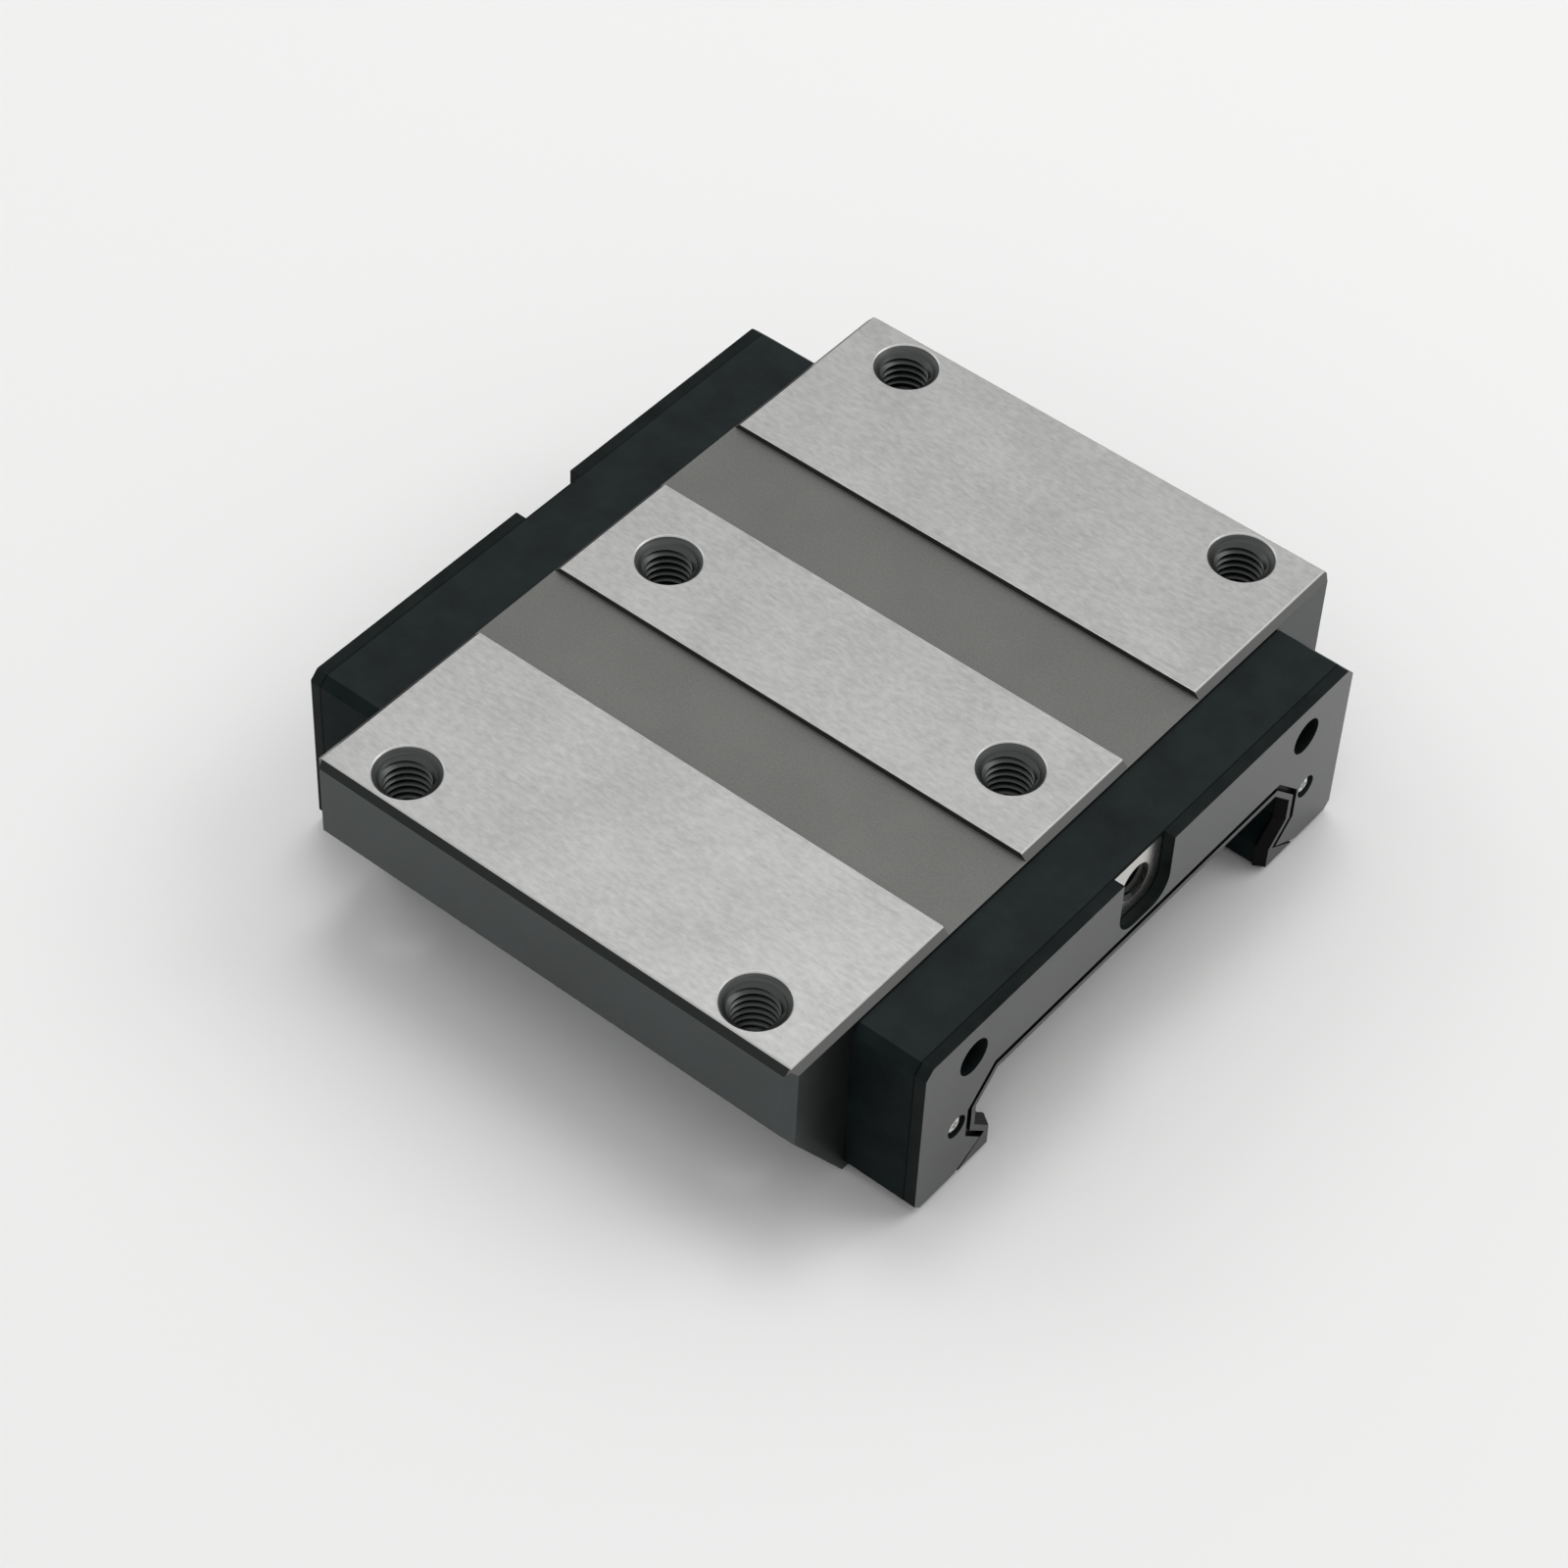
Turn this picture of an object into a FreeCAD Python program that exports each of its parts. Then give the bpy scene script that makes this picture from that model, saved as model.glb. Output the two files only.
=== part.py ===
"""Linear bearing block: the flanged carriage of a wide, low rail guide.

A ground steel block rides over a wide rail on four endless rows of balls, two on each
side. A moulded end plate at each end turns the balls back into the steel, an end seal
closes it, and bolts from above hold the load in six tapped holes.

Millimetres. X runs along the rail, Y across it and Z up. The origin is the middle of the
block's underside, so the mounting face is at Z = carriage_height.
The near end is +X, the far end -X; right is +Y and left -Y, as seen from the near end.
"""

import FreeCAD
import Part

import math
import os

# Rail that the block is made for, used only to place what runs along it
rail_width = 69.0
rail_height = 19.0
underside_gap = 4.0         # from the rail's foot up to the block's underside
rail_shoulder = 3.5         # width and height of each 45 degree shoulder of the head
rail_head_side = 3.0        # height of the head's upright side

# Steel block
carriage_length = 82.6
carriage_width = 120.0
carriage_height = 31.0
foot_width = 95.6           # width of the underside
flange_side = 13.2          # height of the flange's upright side
edge_chamfer = 1.1
corner_chamfer = 1.4        # on the four upright corners
middle_pad_width = 22.5
recess_width = 16.6         # each of the two bands between the ground pads
recess_depth = 1.0
channel_headroom = 1.5      # free height over the rail
channel_side_gap = 3.5      # from the rail's head to the channel's wall
channel_lip_gap = 2.6       # from the rail's waist to the steel beside it

# Six M8 mounting holes, modelled at the thread's outer radius
mount_pitch_length = 60.0
mount_pitch_width = 107.0
mount_thread_radius = 4.0
mount_mouth_radius = 5.0
middle_hole_roof = 1.1      # steel left between the drill point and the channel
drill_point_angle = 118.0

# Balls and their four endless paths
ball_diameter = 5.556
ball_sink = 1.178           # how deep a ball sits in the rail's groove and in the steel's
raceway_conformity = 1.04   # groove radius over ball radius
balls_per_circuit = 34
return_clearance = 0.25     # around a ball in the return passage
return_reach = 9.12         # from a loaded row out to its return bore
upper_return_rise = 2.62    # and up
lower_return_rise = 0.28

# End plates
end_plate_length = 10.2
end_width = 95.6
end_top_drop = 1.5          # end plates stay below the mounting face
end_bottom_rise = 0.9       # and above the underside
end_top_chamfer = 1.4
end_bottom_chamfer = 1.2
end_rail_gap = 0.6

# End seals
seal_thickness = 1.8
seal_edge_gap = 3.0         # from the rail to the edge of the seal's stiff plate
seal_heel_width = 5.4       # slanting heel at the inner foot of each leg
lip_face_gap = 1.2          # from the rail to the lip at the outer face
lip_tip_gap = 0.3           # and at its tip, inside
lip_tip_length = 0.3
lip_groove_width = 0.9      # groove in the rubber along the plate's edge
lip_groove_depth = 0.8
notch_width = 11.3          # open notch over the grease port
notch_web = 0.65            # left between the notch and the rail's opening
notch_corner = 3.75

# Grease port
port_length = 4.0
port_set_back = 0.1         # insert's face behind the end plate's
port_radius = 3.0
port_clearance = 0.1
port_cover = 0.35           # resin left over the insert
grease_hole_radius = 1.25
grease_groove_width = 2.0
grease_groove_depth = 1.2
grease_groove_end = 32.5    # Y where the groove turns down to the upper circuit

# Cap screws that hold the end plates
plate_screw_y = 37.4
plate_screw_lift = 0.528    # share of the way up from the upper return bore to the top
plate_screw_radius = 1.5
plate_screw_head_radius = 2.75
plate_screw_head_height = 3.0
plate_screw_seat = 4.0      # resin under the head
plate_screw_grip = 8.0      # thread in the steel
plate_screw_key = 2.5       # across the flats of the socket
plate_screw_key_depth = 1.4
plate_screw_clearance = 0.1

# Sunk seats in the end seals for their small screws
seal_seat_radius = 1.8
seal_seat_edge = 0.5        # plate left between a seat and the opening's edge
seal_seat_web = 0.45        # seal plate left under the screw's head

# Strips that keep the balls in when the block is off its rail
retainer_clearance = 0.12   # from a ball
retainer_rail_gap = 0.45
retainer_tongue = 1.0       # length held in each end plate
middle_tongue_height = 2.0
retainer_slot_clearance = 0.1
upper_retainer_width = 5.0
upper_retainer_thickness = 1.1
lower_retainer_height = 2.5

# Inner guides of the ball turns
core_clearance = 0.1

# Worked-out places
half_length = carriage_length / 2
half_width = carriage_width / 2
half_foot = foot_width / 2
end_face = half_length + end_plate_length
outer_face = end_face + seal_thickness
end_top = carriage_height - end_top_drop
end_bottom = end_bottom_rise
half_end = end_width / 2

rail_half = rail_width / 2
rail_waist = rail_half - rail_shoulder
rail_top = rail_height - underside_gap
rail_head_top = rail_top - rail_shoulder
rail_head_bottom = rail_head_top - rail_head_side

ball_radius = ball_diameter / 2
passage_radius = ball_radius + return_clearance
raceway_radius = ball_radius * raceway_conformity
facet_distance = ball_radius - ball_sink
DIAGONAL = math.sqrt(0.5)
shoulder_middle = rail_half - rail_shoulder / 2
upper_row = (shoulder_middle + facet_distance * DIAGONAL,
             rail_top - rail_shoulder / 2 + facet_distance * DIAGONAL)
lower_row = (upper_row[0],
             rail_head_bottom - rail_shoulder / 2 - facet_distance * DIAGONAL)
upper_return = (upper_row[0] + return_reach, upper_row[1] + upper_return_rise)
lower_return = (lower_row[0] + return_reach, lower_row[1] + lower_return_rise)
rows = {"upper": (upper_row, upper_return), "lower": (lower_row, lower_return)}

channel_top = rail_top + channel_headroom
channel_wall = rail_half + channel_side_gap
channel_lip = rail_waist + channel_lip_gap

drill_point_height = mount_thread_radius / math.tan(math.radians(drill_point_angle / 2))
middle_hole_floor = channel_top + middle_hole_roof + drill_point_height

plate_screw_z = upper_return[1] + plate_screw_lift * (end_top - upper_return[1])
seal_seat_y = rail_half + seal_edge_gap + seal_seat_edge + seal_seat_radius
seal_seat_z = (upper_return[1] + lower_return[1]) / 2
notch_bottom = rail_top + seal_edge_gap + notch_web
port_z = (notch_bottom + end_top) / 2
port_pocket_top = end_top - port_cover
port_face = end_face - port_set_back
port_back = port_face - port_length

OVERRUN = 5.0               # how far a cutting solid runs past a face
SIDES = {"right": 1, "left": -1}
ENDS = {"near": 1, "far": -1}


# Basic solids

def block(low, high):
    """A box between two corners."""
    size = [b - a for a, b in zip(low, high)]
    return Part.makeBox(*size, FreeCAD.Vector(*low))


def section_wire(points, x):
    """A closed outline of (y, z) points in the plane at x."""
    corners = [FreeCAD.Vector(x, y, z) for y, z in points]
    return Part.makePolygon(corners + [corners[0]])


def bar(points, x_start, x_end):
    """An outline of (y, z) points drawn out along X."""
    face = Part.Face(section_wire(points, x_start))
    return face.extrude(FreeCAD.Vector(x_end - x_start, 0, 0))


def rod_x(radius, y, z, x_start, x_end):
    """A round bar along X."""
    start = FreeCAD.Vector(x_start, y, z)
    return Part.makeCylinder(radius, x_end - x_start, start, FreeCAD.Vector(1, 0, 0))


def rod_z(radius, x, y, z_start, z_end):
    """A round bar along Z."""
    start = FreeCAD.Vector(x, y, z_start)
    return Part.makeCylinder(radius, z_end - z_start, start, FreeCAD.Vector(0, 0, 1))


def hexagon_bar(across_flats, y, z, x_start, x_end):
    """A six-sided bar along X."""
    reach = across_flats / math.sqrt(3)
    corners = []
    for step in range(6):
        angle = math.radians(60 * step)
        corners.append((y + reach * math.cos(angle), z + reach * math.sin(angle)))
    return bar(corners, x_start, x_end)


def mirror_sides(points):
    """The right half of an outline, from its middle line round, completed on the left."""
    left = [(-y, z) for y, z in reversed(points) if y > 0]
    return points + left


def other_side(shape, side):
    """The shape as made on the right, or its mirror image on the left."""
    if side > 0:
        return shape
    return shape.mirror(FreeCAD.Vector(0, 0, 0), FreeCAD.Vector(0, 1, 0))


def other_end(shape, end):
    """The shape as made at the near end, or its mirror image at the far end."""
    if end > 0:
        return shape
    return shape.mirror(FreeCAD.Vector(0, 0, 0), FreeCAD.Vector(1, 0, 0))


def both_sides(shape):
    """A shape and its mirror image across the middle plane."""
    return [shape, other_side(shape, -1)]


def both_ends(shape):
    """A shape and its mirror image at the other end."""
    return [shape, other_end(shape, -1)]


# Outlines that several pieces share

def rail_outline(gap, bottom):
    """The space the rail needs, all round it by gap, open below down to bottom."""
    slant = gap * math.sqrt(2)
    upper_sum = rail_waist + rail_top + slant
    lower_difference = rail_half - rail_head_bottom + slant
    side = rail_half + gap
    waist = rail_waist + gap
    top = rail_top + gap
    right = [
        (upper_sum - top, top),
        (side, upper_sum - side),
        (side, side - lower_difference),
        (waist, waist - lower_difference),
        (waist, bottom),
    ]
    return mirror_sides(right)


def end_outline():
    """Outer outline of the end plates and the end seals."""
    right = [
        (half_end - end_top_chamfer, end_top),
        (half_end, end_top - end_top_chamfer),
        (half_end, end_bottom + end_bottom_chamfer),
        (half_end - end_bottom_chamfer, end_bottom),
    ]
    return mirror_sides(right)


def seal_opening_outline(inset=0):
    """Edge of the seal's stiff plate round the rail, with a slanting heel on each leg."""
    outline = rail_outline(seal_edge_gap - inset, end_bottom)
    right = [point for point in outline if point[0] > 0]
    nose = right[3]
    heel = (nose[0] + seal_heel_width, end_bottom)
    return mirror_sides(right[:4] + [heel, (heel[0], end_bottom - OVERRUN)])


def notch_solid(shrink, top, x_start, x_end):
    """U-shaped space round the grease port, up to a flat top."""
    half = notch_width / 2 - shrink
    low = notch_bottom + shrink
    corner = notch_corner - shrink
    reach = corner * DIAGONAL
    right_start = FreeCAD.Vector(x_start, half, low + corner)
    right_middle = FreeCAD.Vector(x_start, half - corner + reach, low + corner - reach)
    right_end = FreeCAD.Vector(x_start, half - corner, low)
    left_start = FreeCAD.Vector(x_start, -half + corner, low)
    left_middle = FreeCAD.Vector(x_start, -half + corner - reach, low + corner - reach)
    left_end = FreeCAD.Vector(x_start, -half, low + corner)
    top_left = FreeCAD.Vector(x_start, -half, top)
    top_right = FreeCAD.Vector(x_start, half, top)
    edges = [
        Part.LineSegment(top_right, right_start).toShape(),
        Part.Arc(right_start, right_middle, right_end).toShape(),
        Part.LineSegment(right_end, left_start).toShape(),
        Part.Arc(left_start, left_middle, left_end).toShape(),
        Part.LineSegment(left_end, top_left).toShape(),
        Part.LineSegment(top_left, top_right).toShape(),
    ]
    face = Part.Face(Part.Wire(edges))
    return face.extrude(FreeCAD.Vector(x_end - x_start, 0, 0))


# Ball circuits

def circuit_frame(row):
    """Middle of a turn, its radius, and the tilt of the circuit's plane about X."""
    load, back = rows[row]
    across = back[0] - load[0]
    up = back[1] - load[1]
    radius = math.hypot(across, up) / 2
    middle = ((load[0] + back[0]) / 2, (load[1] + back[1]) / 2)
    return middle, radius, math.degrees(math.atan2(up, across))


def tilt_into_circuit(shape, row):
    """Move a shape drawn flat about the origin onto a circuit's turning centre."""
    middle, _, tilt = circuit_frame(row)
    shape.rotate(FreeCAD.Vector(0, 0, 0), FreeCAD.Vector(1, 0, 0), tilt)
    shape.translate(FreeCAD.Vector(half_length, middle[0], middle[1]))
    return shape


def half_disc(radius, half_thickness, row):
    """Half a disc in a circuit's plane, flat on the steel's near end face."""
    start = FreeCAD.Vector(0, 0, -half_thickness)
    disc = Part.makeCylinder(radius, 2 * half_thickness, start)
    keep = block((0, -2 * radius, -2 * half_thickness),
                 (2 * radius, 2 * radius, 2 * half_thickness))
    return tilt_into_circuit(disc.common(keep), row)


def turn_pocket(row):
    """Space in an end plate where the balls of one circuit turn back."""
    _, radius, _ = circuit_frame(row)
    return half_disc(radius + passage_radius, passage_radius, row)


def return_core(row):
    """Half-round guide that the balls turn about, seated flat on the steel."""
    _, radius, _ = circuit_frame(row)
    return half_disc(radius - passage_radius, passage_radius - core_clearance, row)


def ball_centre(row, distance):
    """Place of a ball, by how far it has run along its circuit from the load row's end."""
    load, back = rows[row]
    middle, radius, _ = circuit_frame(row)
    turn = math.pi * radius
    towards_load = ((load[0] - middle[0]) / radius, (load[1] - middle[1]) / radius)
    if distance < carriage_length:
        return (-half_length + distance, load[0], load[1])
    distance -= carriage_length
    if distance < turn:
        angle = distance / radius
        out = half_length + radius * math.sin(angle)
        side = radius * math.cos(angle)
        return (out, middle[0] + side * towards_load[0], middle[1] + side * towards_load[1])
    distance -= turn
    if distance < carriage_length:
        return (half_length - distance, back[0], back[1])
    distance -= carriage_length
    angle = distance / radius
    out = half_length + radius * math.sin(angle)
    side = -radius * math.cos(angle)
    return (-out, middle[0] + side * towards_load[0], middle[1] + side * towards_load[1])


def ball_solid():
    """A ball with few faces, to keep so many of them light: two poles and two rings of five."""
    latitude = math.atan(0.5)
    north = FreeCAD.Vector(0, 0, ball_radius)
    south = FreeCAD.Vector(0, 0, -ball_radius)
    ring_radius = ball_radius * math.cos(latitude)
    ring_height = ball_radius * math.sin(latitude)
    upper = []
    lower = []
    for step in range(5):
        angle = math.radians(72 * step)
        upper.append(FreeCAD.Vector(ring_radius * math.cos(angle),
                                    ring_radius * math.sin(angle), ring_height))
        angle += math.radians(36)
        lower.append(FreeCAD.Vector(ring_radius * math.cos(angle),
                                    ring_radius * math.sin(angle), -ring_height))
    triangles = []
    for step in range(5):
        following = (step + 1) % 5
        triangles.append((north, upper[step], upper[following]))
        triangles.append((upper[step], lower[step], upper[following]))
        triangles.append((lower[step], lower[following], upper[following]))
        triangles.append((south, lower[following], lower[step]))
    faces = [Part.Face(Part.makePolygon([a, b, c, a])) for a, b, c in triangles]
    return Part.Solid(Part.Shell(faces))


def ball_circuit(row, side):
    """All the balls of one endless row."""
    _, radius, _ = circuit_frame(row)
    path_length = 2 * carriage_length + 2 * math.pi * radius
    pattern = ball_solid()
    balls = []
    for index in range(balls_per_circuit):
        place = ball_centre(row, index * path_length / balls_per_circuit)
        ball = pattern.copy()
        ball.translate(FreeCAD.Vector(place[0], side * place[1], place[2]))
        balls.append(ball)
    return Part.makeCompound(balls)


# Steel block

def carriage_outline():
    """Outer section of the steel: upright flange sides, then a slant down to the foot."""
    right = [
        (half_width - edge_chamfer, carriage_height),
        (half_width, carriage_height - edge_chamfer),
        (half_width, carriage_height - flange_side),
        (half_foot, 0),
    ]
    return mirror_sides(right)


def channel_outline():
    """Section of the channel for the rail, with 45 degree walls behind the balls."""
    reach = facet_distance * DIAGONAL
    upper_sum = upper_row[0] + upper_row[1] + 2 * reach
    lower_difference = lower_row[0] - lower_row[1] + 2 * reach
    right = [
        (upper_sum - channel_top, channel_top),
        (channel_wall, upper_sum - channel_wall),
        (channel_wall, channel_wall - lower_difference),
        (channel_lip, channel_lip - lower_difference),
        (channel_lip, -OVERRUN),
    ]
    return mirror_sides(right)


def end_edge_wedge():
    """What the chamfer takes off the near end's top edge."""
    start = FreeCAD.Vector(half_length - edge_chamfer, -carriage_width, carriage_height)
    out = FreeCAD.Vector(half_length + OVERRUN, -carriage_width, carriage_height)
    down = FreeCAD.Vector(half_length + OVERRUN, -carriage_width,
                          carriage_height - edge_chamfer - OVERRUN)
    face = Part.Face(Part.makePolygon([start, out, down, start]))
    return face.extrude(FreeCAD.Vector(0, 2 * carriage_width, 0))


def corner_wedge():
    """What the chamfer takes off the near right upright corner."""
    along = FreeCAD.Vector(half_length - corner_chamfer - OVERRUN, half_width + OVERRUN, -OVERRUN)
    out = FreeCAD.Vector(half_length + OVERRUN, half_width + OVERRUN, -OVERRUN)
    across = FreeCAD.Vector(half_length + OVERRUN, half_width - corner_chamfer - OVERRUN, -OVERRUN)
    face = Part.Face(Part.makePolygon([along, out, across, along]))
    return face.extrude(FreeCAD.Vector(0, 0, carriage_height + 2 * OVERRUN))


def hole_mouth(x, y):
    """Countersunk mouth of a mounting hole."""
    depth = mount_mouth_radius - mount_thread_radius
    start = FreeCAD.Vector(x, y, carriage_height - depth)
    cone = Part.makeCone(mount_thread_radius, mount_mouth_radius + OVERRUN,
                         depth + OVERRUN, start)
    return cone


def flange_hole(x, y):
    """Mounting hole right through the flange."""
    hole = rod_z(mount_thread_radius, x, y, -OVERRUN, carriage_height + OVERRUN)
    return hole.fuse(hole_mouth(x, y))


def middle_hole(x):
    """Blind mounting hole over the rail, with a drill point."""
    hole = rod_z(mount_thread_radius, x, 0, middle_hole_floor, carriage_height + OVERRUN)
    tip = FreeCAD.Vector(x, 0, middle_hole_floor - drill_point_height)
    point = Part.makeCone(0, mount_thread_radius, drill_point_height, tip)
    return hole.fuse([point, hole_mouth(x, 0)])


def carriage_block():
    """The ground steel block."""
    steel = bar(carriage_outline(), -half_length, half_length)
    cuts = [bar(channel_outline(), -half_length - OVERRUN, half_length + OVERRUN)]
    recess_start = middle_pad_width / 2
    recess = block(
        (-half_length - OVERRUN, recess_start, carriage_height - recess_depth),
        (half_length + OVERRUN, recess_start + recess_width, carriage_height + OVERRUN),
    )
    cuts += both_sides(recess)
    cuts += both_ends(end_edge_wedge())
    for wedge in both_sides(corner_wedge()):
        cuts += both_ends(wedge)
    for x in (-mount_pitch_length / 2, mount_pitch_length / 2):
        cuts.append(middle_hole(x))
        for y in (-mount_pitch_width / 2, mount_pitch_width / 2):
            cuts.append(flange_hole(x, y))
    for load, back in rows.values():
        raceway = rod_x(raceway_radius, *load, -half_length - OVERRUN, half_length + OVERRUN)
        passage = rod_x(passage_radius, *back, -half_length - OVERRUN, half_length + OVERRUN)
        cuts += both_sides(raceway)
        cuts += both_sides(passage)
    tap_depth = plate_screw_grip + 2 * plate_screw_radius
    screw_hole = rod_x(plate_screw_radius + plate_screw_clearance, plate_screw_y, plate_screw_z,
                       half_length - tap_depth, half_length + OVERRUN)
    for hole in both_sides(screw_hole):
        cuts += both_ends(hole)
    return steel.cut(cuts)


# Ball retainers

def ball_room():
    """The space that the right rows of balls run through, with their clearance."""
    radius = ball_radius + retainer_clearance
    start = -half_length - OVERRUN
    stop = half_length + OVERRUN
    return [rod_x(radius, *load, start, stop) for load, _ in rows.values()]


def retainer_section(place):
    """Lowest and highest (y, z) of a retainer on the right, before the balls hollow it."""
    if place == "upper":
        low = channel_top - upper_retainer_thickness
        return (upper_row[0] - upper_retainer_width, low), (upper_row[0], channel_top)
    if place == "middle":
        outline = channel_outline()
        wall_top = outline[1][1]
        wall_bottom = outline[2][1]
        return (rail_half + retainer_rail_gap, wall_bottom), (channel_wall, wall_top)
    high = lower_row[1] - ball_radius / 2
    return (rail_waist + retainer_rail_gap, high - lower_retainer_height), (channel_lip, high)


def tongue_section(place):
    """The part of a retainer's section that goes on into the end plates."""
    low, high = retainer_section(place)
    if place == "middle":
        middle = (low[1] + high[1]) / 2
        half = middle_tongue_height / 2
        return (low[0], middle - half), (high[0], middle + half)
    return low, high


def ball_retainer(place):
    """One strip on the right, hollowed along the balls, with a tongue at each end."""
    low, high = retainer_section(place)
    strip = block((-half_length, *low), (half_length, *high))
    low, high = tongue_section(place)
    reach = half_length + retainer_tongue
    tongues = block((-reach, *low), (reach, *high))
    return strip.fuse(tongues).removeSplitter().cut(ball_room())


def retainer_slot(place):
    """Slot for a retainer's tongue in the near end plate."""
    low, high = tongue_section(place)
    grow = retainer_slot_clearance
    return block(
        (half_length - OVERRUN, low[0] - grow, low[1] - grow),
        (half_length + retainer_tongue + grow, high[0] + grow, high[1] + grow),
    )


RETAINERS = ("upper", "middle", "lower")


# End plates, drawn for the near end

def grease_groove():
    """Groove on the steel side of an end plate, from the port to both upper circuits."""
    half = grease_groove_width / 2
    start = half_length - OVERRUN
    stop = half_length + grease_groove_depth
    level = block((start, -grease_groove_end - half, port_z - half),
                  (stop, grease_groove_end + half, port_z + half))
    drop = block((start, grease_groove_end - half, upper_row[1]),
                 (stop, grease_groove_end + half, port_z + half))
    return [level] + both_sides(drop)


def end_plate():
    """Moulded resin plate that turns the balls back."""
    plate = bar(end_outline(), half_length, end_face)
    opening = rail_outline(end_rail_gap, end_bottom - OVERRUN)
    cuts = [bar(opening, half_length - OVERRUN, end_face + OVERRUN)]
    for row in rows:
        cuts += both_sides(turn_pocket(row))
    for place in RETAINERS:
        cuts += both_sides(retainer_slot(place))
    screw_hole = rod_x(plate_screw_radius + plate_screw_clearance, plate_screw_y, plate_screw_z,
                       half_length - OVERRUN, end_face + OVERRUN)
    head_hole = rod_x(plate_screw_head_radius + plate_screw_clearance,
                      plate_screw_y, plate_screw_z,
                      half_length + plate_screw_seat, end_face + OVERRUN)
    for hole in (screw_hole, head_hole):
        cuts += both_sides(hole)
    cuts.append(notch_solid(0, port_pocket_top, port_back, end_face + OVERRUN))
    cuts.append(rod_x(grease_hole_radius, 0, port_z, half_length - OVERRUN, end_face))
    cuts += grease_groove()
    return plate.cut(cuts)


def grease_port():
    """Plated insert with the threaded grease port."""
    insert = notch_solid(port_clearance, port_pocket_top - port_clearance,
                         port_back, port_face)
    hole = rod_x(port_radius, 0, port_z, port_back - OVERRUN, end_face + OVERRUN)
    return insert.cut(hole)


# End seals, drawn for the near end

def seal_plate():
    """Stiff plate of the end seal."""
    plate = bar(end_outline(), end_face, outer_face)
    cuts = [bar(seal_opening_outline(), end_face - OVERRUN, outer_face + OVERRUN)]
    cuts.append(notch_solid(0, end_top + OVERRUN, end_face - OVERRUN, outer_face + OVERRUN))
    access = rod_x(plate_screw_head_radius + plate_screw_clearance,
                   plate_screw_y, plate_screw_z, end_face - OVERRUN, outer_face + OVERRUN)
    seat = rod_x(seal_seat_radius, seal_seat_y, seal_seat_z,
                 end_face + seal_seat_web, outer_face + OVERRUN)
    for hole in (access, seat):
        cuts += both_sides(hole)
    return plate.cut(cuts)


def lip_throat():
    """Space inside the lip, narrowing from the outer face to the tip."""
    bottom = end_bottom - OVERRUN
    tip_end = end_face + lip_tip_length
    wide = section_wire(rail_outline(lip_face_gap, bottom), outer_face)
    narrow = section_wire(rail_outline(lip_tip_gap, bottom), tip_end)
    taper = Part.makeLoft([wide, narrow], True, True)
    straight = bar(rail_outline(lip_tip_gap, bottom), end_face - OVERRUN, tip_end)
    return [taper, straight]


def lip_groove():
    """Groove in the outer face of the rubber, along the edge of the stiff plate."""
    floor = outer_face - lip_groove_depth
    outer = bar(seal_opening_outline(), floor, outer_face + OVERRUN)
    inner = bar(seal_opening_outline(lip_groove_width), floor, outer_face + OVERRUN)
    return outer.cut(inner)


def seal_lip():
    """Rubber lip bonded round the opening of the stiff plate."""
    filled = bar(seal_opening_outline(), end_face, outer_face)
    trim = block((end_face - OVERRUN, -half_width, -2 * OVERRUN),
                 (outer_face + OVERRUN, half_width, end_bottom))
    return filled.cut(lip_throat() + [lip_groove(), trim])


# Cap screws, drawn for the near right corner

def plate_screw():
    """Socket-head cap screw through an end plate into the steel."""
    seat = half_length + plate_screw_seat
    top = seat + plate_screw_head_height
    shank = rod_x(plate_screw_radius, plate_screw_y, plate_screw_z,
                  half_length - plate_screw_grip, seat)
    head = rod_x(plate_screw_head_radius, plate_screw_y, plate_screw_z, seat, top)
    key = hexagon_bar(plate_screw_key, plate_screw_y, plate_screw_z,
                      top - plate_screw_key_depth, top + OVERRUN)
    return shank.fuse(head).cut(key).removeSplitter()


# Assembly

def all_pieces():
    """Every piece by the name of its file."""
    pieces = {"carriage_block": carriage_block()}
    for side_name, side in SIDES.items():
        for row in rows:
            pieces[f"ball_circuit_{side_name}_{row}"] = ball_circuit(row, side)
        for place in RETAINERS:
            pieces[f"ball_retainer_{side_name}_{place}"] = other_side(ball_retainer(place), side)
    for end_name, end in ENDS.items():
        pieces[f"end_plate_{end_name}"] = other_end(end_plate(), end)
        pieces[f"grease_port_{end_name}"] = other_end(grease_port(), end)
        pieces[f"seal_plate_{end_name}"] = other_end(seal_plate(), end)
        pieces[f"seal_lip_{end_name}"] = other_end(seal_lip(), end)
        for side_name, side in SIDES.items():
            where = f"{end_name}_{side_name}"
            pieces[f"plate_screw_{where}"] = other_end(other_side(plate_screw(), side), end)
            for row in rows:
                core = other_end(other_side(return_core(row), side), end)
                pieces[f"return_core_{where}_{row}"] = core
    return pieces


def main():
    os.makedirs("parts", exist_ok=True)
    for name, shape in all_pieces().items():
        shape.exportStep(f"parts/{name}.step")
        print(f"{name}: {len(shape.Solids)} solid(s), {shape.Volume:.1f} mm3, "
              f"valid {shape.isValid()}")


main()
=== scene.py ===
"""Linear bearing block, dressed for the studio.

Metres, in the frame of the solids: X along the rail, Y across it, Z up. The near end is +X
and the right flange +Y.
"""

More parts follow.
